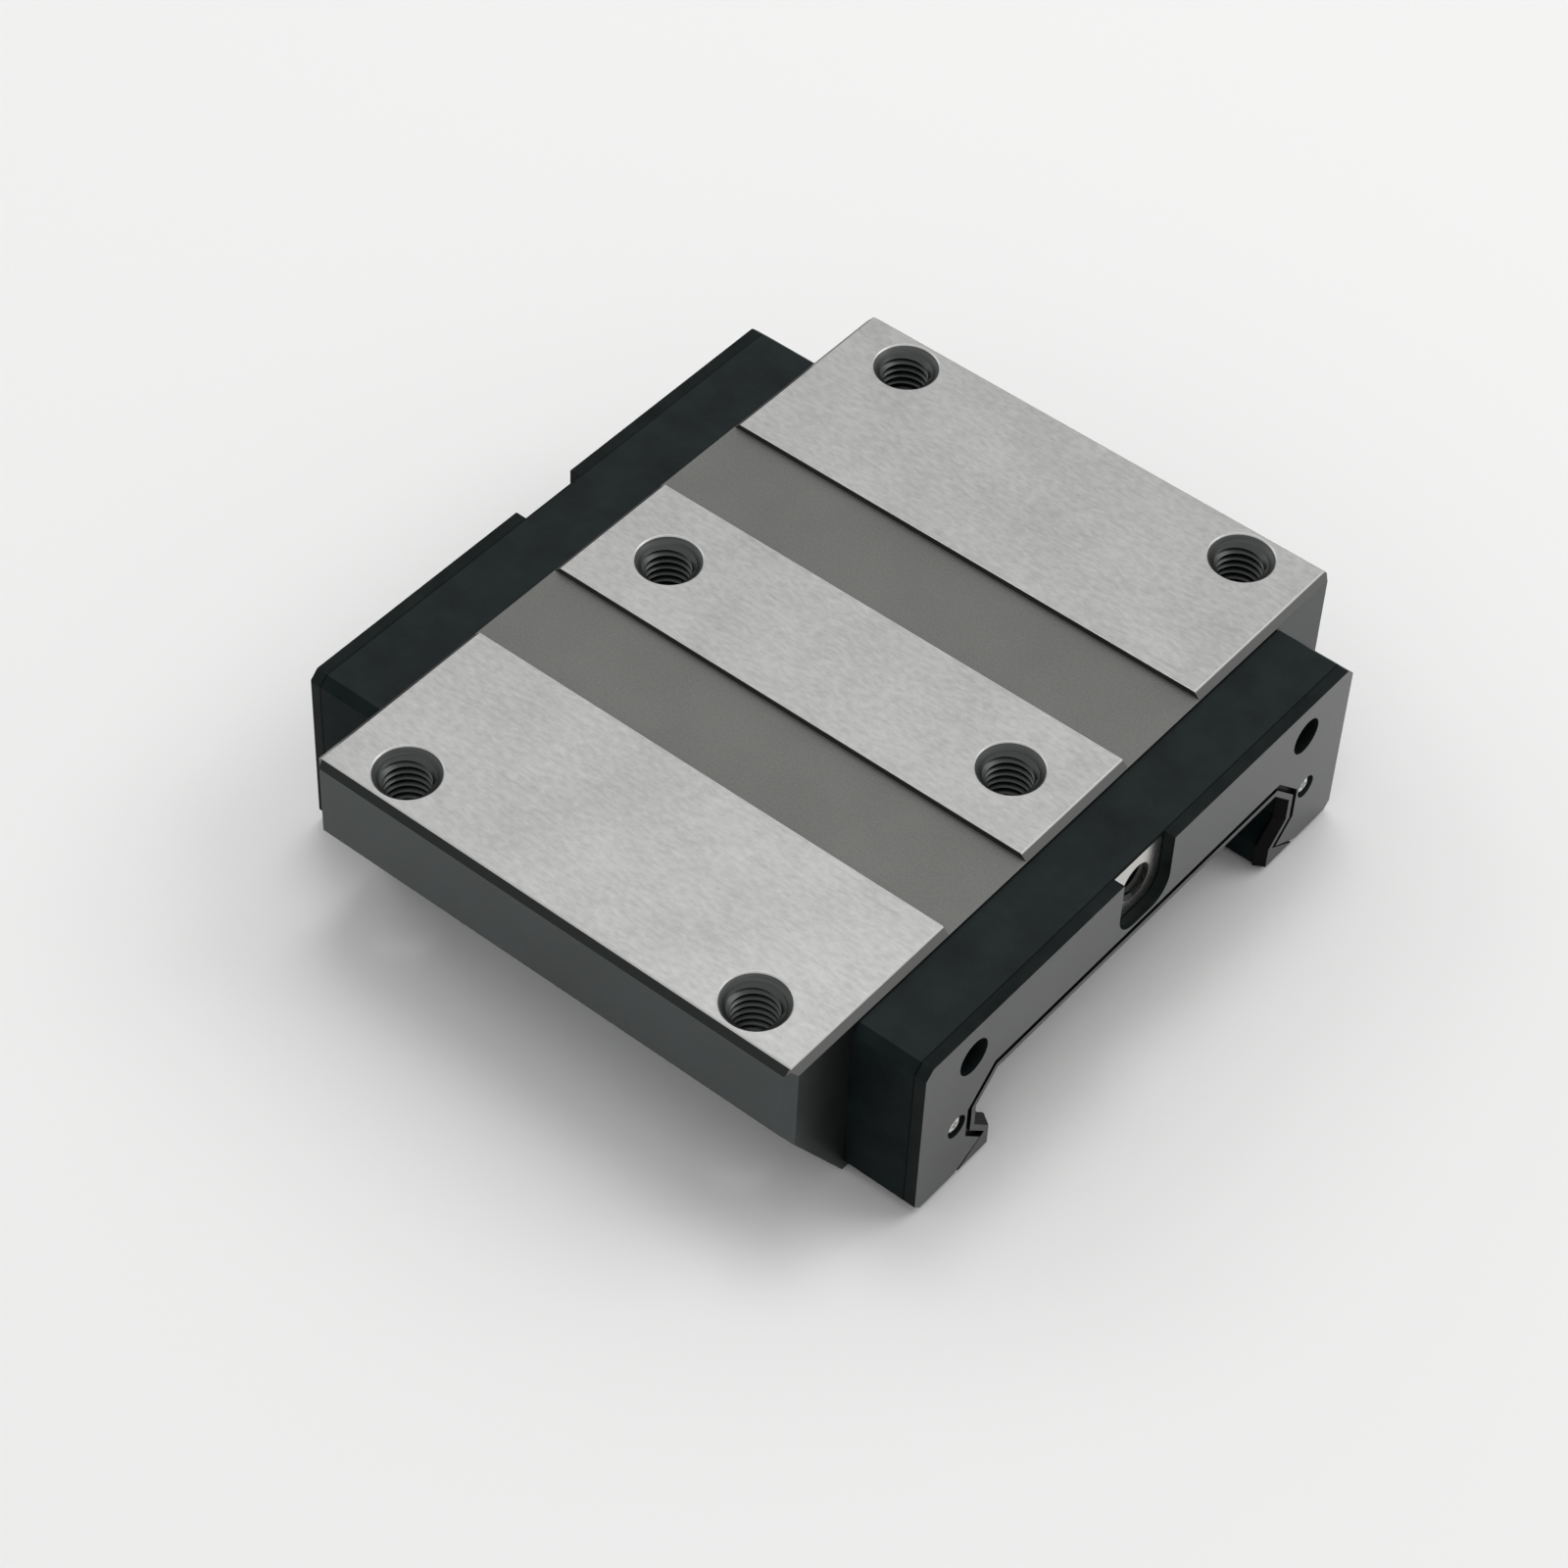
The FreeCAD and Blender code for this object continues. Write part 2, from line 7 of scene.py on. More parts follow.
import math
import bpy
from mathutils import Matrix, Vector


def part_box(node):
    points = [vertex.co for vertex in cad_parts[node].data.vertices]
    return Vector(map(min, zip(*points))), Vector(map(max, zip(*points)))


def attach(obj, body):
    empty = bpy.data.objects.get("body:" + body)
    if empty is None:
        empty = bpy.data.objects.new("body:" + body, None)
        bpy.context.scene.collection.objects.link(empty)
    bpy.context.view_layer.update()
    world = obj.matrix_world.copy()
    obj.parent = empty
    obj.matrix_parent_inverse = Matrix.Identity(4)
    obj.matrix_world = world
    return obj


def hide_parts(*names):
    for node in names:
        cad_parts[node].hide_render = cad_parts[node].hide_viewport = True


bl_info = {
    "name": "Linear bearing block",
    "version": (1, 0, 0),
    "blender": (4, 5, 0),
    "location": "View3D > Sidebar > Bearing block",
    "description": "Finishes, threads, balls and small screws of a linear bearing block",
    "category": "Object",
}

import bmesh
import bpy
from mathutils import Matrix, Quaternion, Vector

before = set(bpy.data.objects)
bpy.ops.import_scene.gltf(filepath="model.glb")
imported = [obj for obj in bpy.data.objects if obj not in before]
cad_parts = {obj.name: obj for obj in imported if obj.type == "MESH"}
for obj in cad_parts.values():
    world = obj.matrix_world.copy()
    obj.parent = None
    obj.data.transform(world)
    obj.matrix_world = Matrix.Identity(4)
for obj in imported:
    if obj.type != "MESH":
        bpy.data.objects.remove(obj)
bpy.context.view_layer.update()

MM = 0.001
SIDES = {"right": 1, "left": -1}
ENDS = {"near": 1, "far": -1}
HOLE_ROWS = {"right": 1, "middle": 0, "left": -1}
BALL_ROWS = ("upper", "lower")

# Gap or overlap too small to see, and distance within which two points are the same
HAIR = 0.01 * MM
SAME_POINT = 0.001 * MM

# Places in the steel block, read from its box
block_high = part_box("carriage_block")[1]
mounting_face = block_high.z
half_length = block_high.x
half_width = block_high.y

# Zones of the steel: depths below the mounting face, and distances from the ends and sides
PAD_EDGE_DEPTH = 0.18 * MM
BAND_LEAST_DEPTH = 0.9 * MM
BAND_MOST_DEPTH = 1.2 * MM
END_CHAMFER_REACH = 1.15 * MM
MOUTH_END_DISTANCE = 1.2 * MM
MOUTH_SIDE_DISTANCE = 1.3 * MM

# Zones of the steel: how far a face looks upwards, 1 for a level one
LEVEL = 0.98
NEARLY_LEVEL = 0.9
SLANTING = 0.5
STEEP = 0.35

# How far a flat face of a moulding looks along an axis, at least
SQUARE_ON = 0.8

# Mounting holes
HOLE_PITCH_LENGTH = 60 * MM
HOLE_PITCH_WIDTH = 107 * MM
HOLE_WALL_RADIUS = 4 * MM
HOLE_MOUTH_RADIUS = 5 * MM
MIDDLE_HOLE_DEPTH = 11 * MM

# Slanting underside of the flanges, as points across and up, and the threads that end at it
FLANGE_SLANT_FOOT = (47.8 * MM, 0.0)
FLANGE_SLANT_TOP = (60 * MM, 17.8 * MM)
FLANGE_THREAD_BOTTOM = 2 * MM
FLANGE_THREAD_CLEARANCE = 0.05 * MM

# Threads: depth as a share of the pitch, steps in a turn, and the angle that stays a sharp edge
THREAD_DEPTH_SHARE = 0.541
MOUNTING_THREAD_STEPS = 48
PORT_THREAD_STEPS = 40
THREAD_CREASE = math.radians(25)

# Grease ports, and how far their threads stay inside them
port_low, port_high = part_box("grease_port_near")
PORT_RADIUS = 3 * MM
PORT_HEIGHT = 24.075 * MM
PORT_THREAD_FRONT = 0.15 * MM
PORT_THREAD_BACK = 0.05 * MM

# End seals: sunk seats of the small screws, depth of the glossy face, and the width and strength of
# the painted shade along the seam with the end plate
seal_low, seal_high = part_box("seal_plate_near")
SEAL_SEAT_SIDE = 39.8 * MM
SEAL_SEAT_HEIGHT = 11.45 * MM
SEAL_SEAT_WEB = 0.45 * MM
SEAL_FACE_DEPTH = 0.3 * MM
SEAM_WIDTH = 0.22 * MM
SEAM_SHADOW = 0.65

# Edges of the cap screws
CAP_SCREW_ROUND = 0.1 * MM

# Studio: floor, and the place, width and power in watts of each softbox
FLOOR_RADIUS = 4.0
SOFTBOXES = {
    "Key softbox": ((0.65, 0.85, 1.1), 0.8, 4.5),
    "Fill softbox": ((-1.3, -0.2, 0.9), 0.9, 2.2),
    "Top softbox": ((-0.2, 0.3, 1.25), 0.5, 3.0),
}


class BearingBlockSizes(bpy.types.PropertyGroup):
    """Sizes of the pieces that are added to the solids."""

    hole_pitch: bpy.props.FloatProperty(
        name="Mounting thread pitch", description="Rise of one turn in the mounting holes",
        default=1.25 * MM, min=0.5 * MM, max=2 * MM, precision=5, subtype="DISTANCE", unit="LENGTH")
    port_pitch: bpy.props.FloatProperty(
        name="Port thread pitch", description="Rise of one turn in the grease ports",
        default=1 * MM, min=0.5 * MM, max=2 * MM, precision=5, subtype="DISTANCE", unit="LENGTH")
    ball_diameter: bpy.props.FloatProperty(
        name="Ball diameter", description="Diameter of the recirculating balls",
        default=5.556 * MM, min=4 * MM, max=6 * MM, precision=6, subtype="DISTANCE", unit="LENGTH")
    edge_round: bpy.props.FloatProperty(
        name="Edge rounding", description="Width of the broken edges on the ground steel",
        default=0.14 * MM, min=0.0, max=0.5 * MM, precision=6, subtype="DISTANCE", unit="LENGTH")
    moulded_round: bpy.props.FloatProperty(
        name="Moulded edge rounding", description="Width of the rounded edges on the mouldings",
        default=0.2 * MM, min=0.0, max=0.5 * MM, precision=6, subtype="DISTANCE", unit="LENGTH")


class BearingBlockColours(bpy.types.PropertyGroup):
    """Colours of the finishes."""

    ground_pads: bpy.props.FloatVectorProperty(
        name="Ground pads", description="Freshly ground steel of the mounting face",
        default=(0.365, 0.364, 0.359), min=0, max=1, size=3, subtype="COLOR")
    blasted_bands: bpy.props.FloatVectorProperty(
        name="Blasted bands", description="Matt steel of the two sunk bands",
        default=(0.145, 0.145, 0.139), min=0, max=1, size=3, subtype="COLOR")
    hardened_sides: bpy.props.FloatVectorProperty(
        name="Hardened sides", description="Darker steel of the sides and holes",
        default=(0.068, 0.075, 0.075), min=0, max=1, size=3, subtype="COLOR")
    # The end chamfers take a lighter colour than the steel of the sides: a painted highlight.
    lit_end_chamfer: bpy.props.FloatVectorProperty(
        name="Machined chamfer", description="Lighter steel of the end edge chamfers",
        default=(0.11, 0.11, 0.108), min=0, max=1, size=3, subtype="COLOR")
    # The side chamfers take a darker colour than the steel of the sides: painted shade.
    shaded_side_chamfer: bpy.props.FloatVectorProperty(
        name="Dark chamfer", description="Hardened steel of the side chamfers",
        default=(0.024, 0.026, 0.026), min=0, max=1, size=3, subtype="COLOR")
    hole_mouth: bpy.props.FloatVectorProperty(
        name="Hole mouth", description="Turned steel of the mouths of the mounting holes",
        default=(0.066, 0.068, 0.068), min=0, max=1, size=3, subtype="COLOR")
    thread_steel: bpy.props.FloatVectorProperty(
        name="Thread steel", description="Dark steel of the threads",
        default=(0.06, 0.063, 0.063), min=0, max=1, size=3, subtype="COLOR")
    end_resin: bpy.props.FloatVectorProperty(
        name="End plate resin", description="Black resin of the end plates",
        default=(0.0075, 0.0115, 0.0115), min=0, max=1, size=3, subtype="COLOR")
    seal_backing: bpy.props.FloatVectorProperty(
        name="Seal plate", description="Black plate of the end seals",
        default=(0.0095, 0.0125, 0.0122), min=0, max=1, size=3, subtype="COLOR")
    seal_rubber: bpy.props.FloatVectorProperty(
        name="Seal rubber", description="Rubber of the sealing lips",
        default=(0.004, 0.004, 0.004), min=0, max=1, size=3, subtype="COLOR")
    nickel: bpy.props.FloatVectorProperty(
        name="Nickel", description="Plating of the grease port inserts",
        default=(0.74, 0.73, 0.7), min=0, max=1, size=3, subtype="COLOR")
    ball_steel: bpy.props.FloatVectorProperty(
        name="Balls", description="Polished bearing steel",
        default=(0.62, 0.63, 0.64), min=0, max=1, size=3, subtype="COLOR")
    zinc: bpy.props.FloatVectorProperty(
        name="Zinc", description="Plating of the small seal screws",
        default=(0.8, 0.8, 0.78), min=0, max=1, size=3, subtype="COLOR")
    black_oxide: bpy.props.FloatVectorProperty(
        name="Black oxide", description="Finish of the cap screws",
        default=(0.035, 0.035, 0.036), min=0, max=1, size=3, subtype="COLOR")
    guide_resin: bpy.props.FloatVectorProperty(
        name="Guide resin", description="Resin of the retainers and ball guides",
        default=(0.022, 0.023, 0.023), min=0, max=1, size=3, subtype="COLOR")


class BearingBlockStudio(bpy.types.PropertyGroup):
    """Camera, floor and surroundings."""

    camera_place: bpy.props.FloatVectorProperty(
        name="Camera place", description="Where the camera stands",
        default=(0.24357, -0.33148, 0.45367), size=3, subtype="TRANSLATION", unit="LENGTH")
    camera_aim: bpy.props.FloatVectorProperty(
        name="Camera aim", description="Point that the camera looks at",
        default=(0.00897, -0.02218, 0.031), size=3, subtype="TRANSLATION", unit="LENGTH")
    camera_roll: bpy.props.FloatProperty(
        name="Camera roll", description="Turn of the camera about its own axis",
        default=math.radians(2.954), subtype="ANGLE")
    camera_lens: bpy.props.FloatProperty(
        name="Camera lens", description="Focal length in millimetres on a 36 mm sensor",
        default=99.17, min=10, max=300)
    floor_colour: bpy.props.FloatVectorProperty(
        name="Floor", description="Colour of the floor",
        default=(0.92, 0.92, 0.915), min=0, max=1, size=3, subtype="COLOR")
    world_strength: bpy.props.FloatProperty(
        name="World strength", description="Brightness of the plain surroundings",
        default=0.6, min=0, max=1)


# Mesh helpers

def add_piece(name, bm, material, smooth_angle):
    """Make a finished bmesh an object that rides on the block."""
    mesh = bpy.data.meshes.new(name)
    bm.to_mesh(mesh)
    bm.free()
    mesh.materials.append(material)
    mesh.shade_smooth()
    mesh.set_sharp_from_angle(angle=smooth_angle)
    piece = bpy.data.objects.new(name, mesh)
    bpy.context.scene.collection.objects.link(piece)
    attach(piece, "root")
    return piece


def face_end(bm, end, place):
    """Point a piece made about Z out of the near (1) or far (-1) end, and move it to its place."""
    turn = Matrix.Rotation(end * math.pi / 2, 3, "Y")
    bmesh.ops.rotate(bm, verts=bm.verts, cent=(0, 0, 0), matrix=turn)
    bmesh.ops.translate(bm, verts=bm.verts, vec=place)


def close_openings(bm):
    """Cap every open end, and point all faces outwards."""
    bmesh.ops.holes_fill(bm, edges=[edge for edge in bm.edges if edge.is_boundary], sides=0)
    bmesh.ops.recalc_face_normals(bm, faces=bm.faces)


def thread_ridge(pitch, wall_radius, top, bottom, steps):
    """A closed helical ridge about Z, as an internal thread stands out of its hole's wall."""
    crest = pitch / 8
    root = pitch * 7 / 16
    outer = wall_radius - HAIR
    inner = wall_radius - pitch * THREAD_DEPTH_SHARE
    profile = [(outer, -root), (inner, -crest), (inner, crest), (outer, root)]
    turns = int((top - bottom - 2 * root) / pitch)
    first_turn = top - root - turns * pitch
    bm = bmesh.new()
    corners = [bm.verts.new((radius, 0, first_turn + rise)) for radius, rise in profile]
    edges = [bm.edges.new((corners[i - 1], corners[i])) for i in range(len(corners))]
    bmesh.ops.spin(
        bm, geom=corners + edges, cent=(0, 0, 0), axis=(0, 0, 1),
        dvec=(0, 0, pitch / steps), angle=2 * math.pi, steps=steps)
    one_turn = bm.verts[:] + bm.edges[:] + bm.faces[:]
    for turn in range(1, turns):
        copy = bmesh.ops.duplicate(bm, geom=one_turn)["geom"]
        verts = [item for item in copy if isinstance(item, bmesh.types.BMVert)]
        bmesh.ops.translate(bm, verts=verts, vec=(0, 0, turn * pitch))
    bmesh.ops.remove_doubles(bm, verts=bm.verts, dist=SAME_POINT)
    close_openings(bm)
    return bm


def countersink(bm, mouth_radius, top):
    """Push the ridge back behind a 45 degree cone that opens to mouth_radius at top."""
    for vert in bm.verts:
        radius = math.hypot(vert.co.x, vert.co.y)
        cone = mouth_radius - (top - vert.co.z) + HAIR
        if radius < cone:
            grow = cone / radius
            vert.co.x *= grow
            vert.co.y *= grow


def cut_at_slant(bm, side):
    """Cut a flange's thread off just above the flange's slanting underside, and close the cut."""
    foot_across, foot_up = FLANGE_SLANT_FOOT
    top_across, top_up = FLANGE_SLANT_TOP
    outwards = Vector((0, side * (top_up - foot_up), foot_across - top_across)).normalized()
    foot = Vector((0, side * foot_across, foot_up))
    cut = bmesh.ops.bisect_plane(
        bm, geom=bm.verts[:] + bm.edges[:] + bm.faces[:], dist=SAME_POINT / 10,
        plane_co=foot - outwards * FLANGE_THREAD_CLEARANCE, plane_no=outwards, clear_outer=True)
    edges = [item for item in cut["geom_cut"] if isinstance(item, bmesh.types.BMEdge)]
    bmesh.ops.holes_fill(bm, edges=edges, sides=0)
    bmesh.ops.recalc_face_normals(bm, faces=bm.faces)


def ball_centres(name):
    """Middle of each ball of a solid that holds them as loose shells."""
    bm = bmesh.new()
    bm.from_mesh(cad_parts[name].data)
    bmesh.ops.remove_doubles(bm, verts=bm.verts, dist=SAME_POINT)
    waiting = set(bm.verts)
    centres = []
    for first in bm.verts:
        if first not in waiting:
            continue
        waiting.remove(first)
        shell = [first]
        for vert in shell:
            for edge in vert.link_edges:
                other = edge.other_vert(vert)
                if other in waiting:
                    waiting.remove(other)
                    shell.append(other)
        centres.append(sum((vert.co for vert in shell), Vector()) / len(shell))
    bm.free()
    return centres


def seal_screw():
    """Head of a pan-head screw with a cross recess, seated in the plane z = 0."""
    # Radius and height of the head's outline, in millimetres
    outline = ((1.4, 0), (1.4, 0.6), (1.3, 0.78), (1.1, 0.9), (0.8, 0.95))
    top = outline[-1][1] * MM
    arm_width = 0.38 * MM
    arm_reach = 0.74 * MM
    recess_depth = 0.4 * MM
    bm = bmesh.new()
    corners = [bm.verts.new((radius * MM, 0, height * MM)) for radius, height in outline]
    edges = [bm.edges.new(pair) for pair in zip(corners, corners[1:])]
    bmesh.ops.spin(bm, geom=corners + edges, cent=(0, 0, 0), axis=(0, 0, 1),
                   angle=2 * math.pi, steps=40, use_merge=True)
    close_openings(bm)

    for axis in (Vector((1, 0, 0)), Vector((0, 1, 0))):
        for offset in (-arm_reach, -arm_width / 2, arm_width / 2, arm_reach):
            faces = [face for face in bm.faces if face.calc_center_median().z > top - HAIR]
            edges = {edge for face in faces for edge in face.edges}
            verts = {vert for face in faces for vert in face.verts}
            bmesh.ops.bisect_plane(bm, geom=faces + list(edges) + list(verts),
                                   dist=SAME_POINT / 100, plane_co=axis * offset, plane_no=axis)
    arms = []
    for face in bm.faces:
        middle = face.calc_center_median()
        across = abs(middle.x) < arm_width / 2 and abs(middle.y) < arm_reach
        along = abs(middle.y) < arm_width / 2 and abs(middle.x) < arm_reach
        if middle.z > top - HAIR and (across or along):
            arms.append(face)
    sunk = bmesh.ops.extrude_face_region(bm, geom=arms)["geom"]
    bmesh.ops.delete(bm, geom=arms, context="FACES")
    verts = [item for item in sunk if isinstance(item, bmesh.types.BMVert)]
    bmesh.ops.translate(bm, verts=verts, vec=(0, 0, -recess_depth))
    bmesh.ops.recalc_face_normals(bm, faces=bm.faces)
    return bm


# Node helpers

def new_material(name):
    """A new material with its node tree and its surface shader."""
    material = bpy.data.materials.new(name)
    material.use_nodes = True
    return material, material.node_tree, material.node_tree.nodes["Principled BSDF"]


def new_group(name, inputs, outputs):
    """An empty node group with float inputs (label, default) and named outputs."""
    tree = bpy.data.node_groups.new(name, "ShaderNodeTree")
    for label, default in inputs:
        socket = tree.interface.new_socket(name=label, in_out="INPUT", socket_type="NodeSocketFloat")
        socket.default_value = default
    for label in outputs:
        tree.interface.new_socket(name=label, in_out="OUTPUT", socket_type="NodeSocketFloat")
    return tree, tree.nodes.new("NodeGroupInput"), tree.nodes.new("NodeGroupOutput")


def give(tree, value, socket):
    """Give an input a value of its own, or another node's output."""
    if isinstance(value, bpy.types.NodeSocket):
        tree.links.new(value, socket)
    else:
        socket.default_value = value


def math_node(tree, operation, *operands):
    """A Math node whose operands are numbers or sockets."""
    node = tree.nodes.new("ShaderNodeMath")
    node.operation = operation
    for socket, value in zip(node.inputs, operands):
        give(tree, value, socket)
    return node.outputs[0]


def above(tree, value, limit):
    """Mask of where a value is more than a limit."""
    return math_node(tree, "GREATER_THAN", value, limit)


def below(tree, value, limit):
    """Mask of where a value is less than a limit."""
    return math_node(tree, "LESS_THAN", value, limit)


def overlap(tree, *masks):
    """Mask of where all the given masks hold."""
    result = masks[0]
    for mask in masks[1:]:
        result = math_node(tree, "MULTIPLY", result, mask)
    return result


def mix_colour(tree, factor, first, second):
    """Mix two colours, each a colour or a socket."""
    node = tree.nodes.new("ShaderNodeMix")
    node.data_type = "RGBA"
    tree.links.new(factor, node.inputs["Factor"])
    give(tree, first, node.inputs[6])
    give(tree, second, node.inputs[7])
    return node.outputs[2]


def mix_number(tree, factor, first, second):
    """Mix two numbers, each a number or a socket."""
    node = tree.nodes.new("ShaderNodeMix")
    node.data_type = "FLOAT"
    tree.links.new(factor, node.inputs["Factor"])
    give(tree, first, node.inputs[2])
    give(tree, second, node.inputs[3])
    return node.outputs[0]


def shade(colour, factor=1.0):
    """A colour made darker or lighter, with its alpha of 1."""
    return (*(min(1.0, part * factor) for part in colour[:3]), 1.0)


def vary(tree, mask, colour, low, high):
    """A colour that runs with a mask from low to high times itself."""
    return mix_colour(tree, mask, shade(colour, low), shade(colour, high))


def split(tree, vector):
    """X, Y and Z of a vector."""
    node = tree.nodes.new("ShaderNodeSeparateXYZ")
    tree.links.new(vector, node.inputs[0])
    return node.outputs


def object_point(tree, scale=(1, 1, 1)):
    """Object coordinates, stretched."""
    coordinate = tree.nodes.new("ShaderNodeTexCoord")
    mapping = tree.nodes.new("ShaderNodeMapping")
    mapping.inputs["Scale"].default_value = scale
    tree.links.new(coordinate.outputs["Object"], mapping.inputs["Vector"])
    return mapping.outputs["Vector"]


def surface_direction(tree):
    """Direction that the surface looks in."""
    return tree.nodes.new("ShaderNodeNewGeometry").outputs["Normal"]


def noise(tree, point, scale, detail=2.0, roughness=0.5):
    """Noise round 0.5, whose scale is a number or a socket."""
    node = tree.nodes.new("ShaderNodeTexNoise")
    node.inputs["Detail"].default_value = detail
    node.inputs["Roughness"].default_value = roughness
    tree.links.new(point, node.inputs["Vector"])
    give(tree, scale, node.inputs["Scale"])
    return node.outputs["Fac"]


def add_bump(tree, shader, height, strength, distance):
    """Feed a height to the shader's normal."""
    bump = tree.nodes.new("ShaderNodeBump")
    bump.inputs["Strength"].default_value = strength
    bump.inputs["Distance"].default_value = distance
    tree.links.new(height, bump.inputs["Height"])
    tree.links.new(bump.outputs["Normal"], shader.inputs["Normal"])


# Shared effects

def mottle_group():
    """Cloudy unevenness and fine grain, as masks round 0.5."""
    tree, given, result = new_group(
        "Uneven surface", [("Cloud size", 90.0), ("Grain size", 1400.0)], ["Cloud", "Grain"])
    point = object_point(tree)
    for label, size, detail in (("Cloud", "Cloud size", 4.0), ("Grain", "Grain size", 2.0)):
        mask = noise(tree, point, given.outputs[size], detail, roughness=0.6)
        tree.links.new(mask, result.inputs[label])
    return tree


def streak_group():
    """Short lines left by a grinding wheel that runs along the rail, with a few deeper ones."""
    tree, given, result = new_group(
        "Grinding lines", [("Line size", 900.0), ("Deep lines", 0.62)], ["Lines", "Scratches"])
    short = object_point(tree, (0.42, 1, 1))
    long = object_point(tree, (0.06, 1, 1))
    lines = noise(tree, short, given.outputs["Line size"], detail=3.0, roughness=0.65)
    deep = noise(tree, long, given.outputs["Line size"])
    deepest = math_node(tree, "SUBTRACT", deep, given.outputs["Deep lines"])
    tree.links.new(lines, result.inputs["Lines"])
    tree.links.new(math_node(tree, "MAXIMUM", deepest, 0.0), result.inputs["Scratches"])
    return tree


def flat_face_group():
    """Masks of flat faces that look along an axis and lie beyond a distance from the middle."""
    tree, given, result = new_group("Flat faces", [("Beyond", 0.0)], ["Across X", "Across Z"])
    slope = split(tree, surface_direction(tree))
    place = split(tree, object_point(tree))
    for axis in ("X", "Z"):
        turned = math_node(tree, "ABSOLUTE", slope[axis])
        distance = math_node(tree, "ABSOLUTE", place[axis])
        mask = overlap(tree, above(tree, turned, SQUARE_ON),
                       above(tree, distance, given.outputs["Beyond"]))
        tree.links.new(mask, result.inputs["Across " + axis])
    return tree


GROUP_MAKERS = {
    "Uneven surface": mottle_group,
    "Grinding lines": streak_group,
    "Flat faces": flat_face_group,
}


def use_group(tree, name, **values):
    """Place one of the shared node groups, made on its first use, with its inputs by name."""
    group = bpy.data.node_groups.get(name) or GROUP_MAKERS[name]()
    node = tree.nodes.new("ShaderNodeGroup")
    node.node_tree = group
    for label, value in values.items():
        node.inputs[label.replace("_", " ").capitalize()].default_value = value
    return node


# Finishes

def steel_zones(tree):
    """Masks of the zones of the block's steel, told apart by height, place and slope."""
    place = split(tree, object_point(tree))
    height = place["Z"]
    along = math_node(tree, "ABSOLUTE", place["X"])
    across = math_node(tree, "ABSOLUTE", place["Y"])
    upward = split(tree, surface_direction(tree))["Z"]
    pads = overlap(tree, above(tree, height, mounting_face - PAD_EDGE_DEPTH),
                   above(tree, upward, STEEP))
    # The broken edges of the pads are lightened with a painted highlight.
    rim_highlights = overlap(tree, pads, below(tree, upward, LEVEL))
    bands = overlap(tree, below(tree, height, mounting_face - BAND_LEAST_DEPTH),
                    above(tree, height, mounting_face - BAND_MOST_DEPTH),
                    above(tree, upward, NEARLY_LEVEL))
    chamfers = overlap(tree, above(tree, height, mounting_face - BAND_MOST_DEPTH),
                       above(tree, upward, SLANTING), below(tree, upward, NEARLY_LEVEL))
    end_edges = overlap(tree, chamfers, above(tree, along, half_length - END_CHAMFER_REACH))
    mouths = overlap(tree, chamfers, below(tree, along, half_length - MOUTH_END_DISTANCE),
                     below(tree, across, half_width - MOUTH_SIDE_DISTANCE))
    return pads, rim_highlights, bands, chamfers, end_edges, mouths


def block_steel(colours):
    """Steel of the block: ground pads, blasted bands, hardened sides and hole mouths, with painted
    shade on the side chamfers and painted highlights on the end chamfers and pad rims.
    """
    material, tree, shader = new_material("Bearing block steel")
    pads, rim_highlights, bands, chamfers, end_edges, mouths = steel_zones(tree)
    uneven = use_group(tree, "Uneven surface", cloud_size=70.0, grain_size=2600.0).outputs
    ground = use_group(tree, "Grinding lines", line_size=1700.0).outputs
    turned = noise(tree, object_point(tree, (0.04, 0.04, 1)), scale=2600.0)

    cloud_share = 0.6
    soft_cloud = math_node(tree, "SUBTRACT", uneven["Cloud"], 0.5)
    soft_cloud = math_node(tree, "MULTIPLY", soft_cloud, cloud_share)
    pad_tone = math_node(tree, "ADD", ground["Lines"], soft_cloud)
    pad_colour = vary(tree, pad_tone, colours.ground_pads, low=0.74, high=1.26)
    pad_colour = mix_colour(tree, ground["Scratches"], pad_colour, shade(colours.ground_pads, 0.5))
    band_tone = math_node(tree, "ADD", uneven["Grain"], soft_cloud)
    # The side chamfers get painted shade; the end chamfers and pad rims get a painted highlight.
    layers = (
        (chamfers, shade(colours.shaded_side_chamfer)),
        (end_edges, shade(colours.lit_end_chamfer)),
        (mouths, vary(tree, turned, colours.hole_mouth, low=0.4, high=1.6)),
        (bands, vary(tree, band_tone, colours.blasted_bands, low=0.8, high=1.2)),
        (pads, pad_colour),
        (rim_highlights, shade(colours.ground_pads, 1.12)),
    )
    colour = vary(tree, uneven["Cloud"], colours.hardened_sides, low=0.75, high=1.25)
    for zone, finish in layers:
        colour = mix_colour(tree, zone, colour, finish)
    tree.links.new(colour, shader.inputs["Base Color"])

    side_rough = mix_number(tree, uneven["Cloud"], 0.34, 0.5)
    band_rough = 0.62
    pad_rough = mix_number(tree, ground["Lines"], 0.3, 0.46)
    rough = mix_number(tree, bands, side_rough, band_rough)
    rough = mix_number(tree, pads, rough, pad_rough)
    tree.links.new(rough, shader.inputs["Roughness"])
    shader.inputs["Metallic"].default_value = 1.0

    scratch_depth = 3.0
    scratches = math_node(tree, "MULTIPLY", ground["Scratches"], scratch_depth)
    relief = math_node(tree, "SUBTRACT", ground["Lines"], scratches)
    relief = mix_number(tree, pads, uneven["Grain"], relief)
    add_bump(tree, shader, relief, strength=0.25, distance=0.02 * MM)
    return material


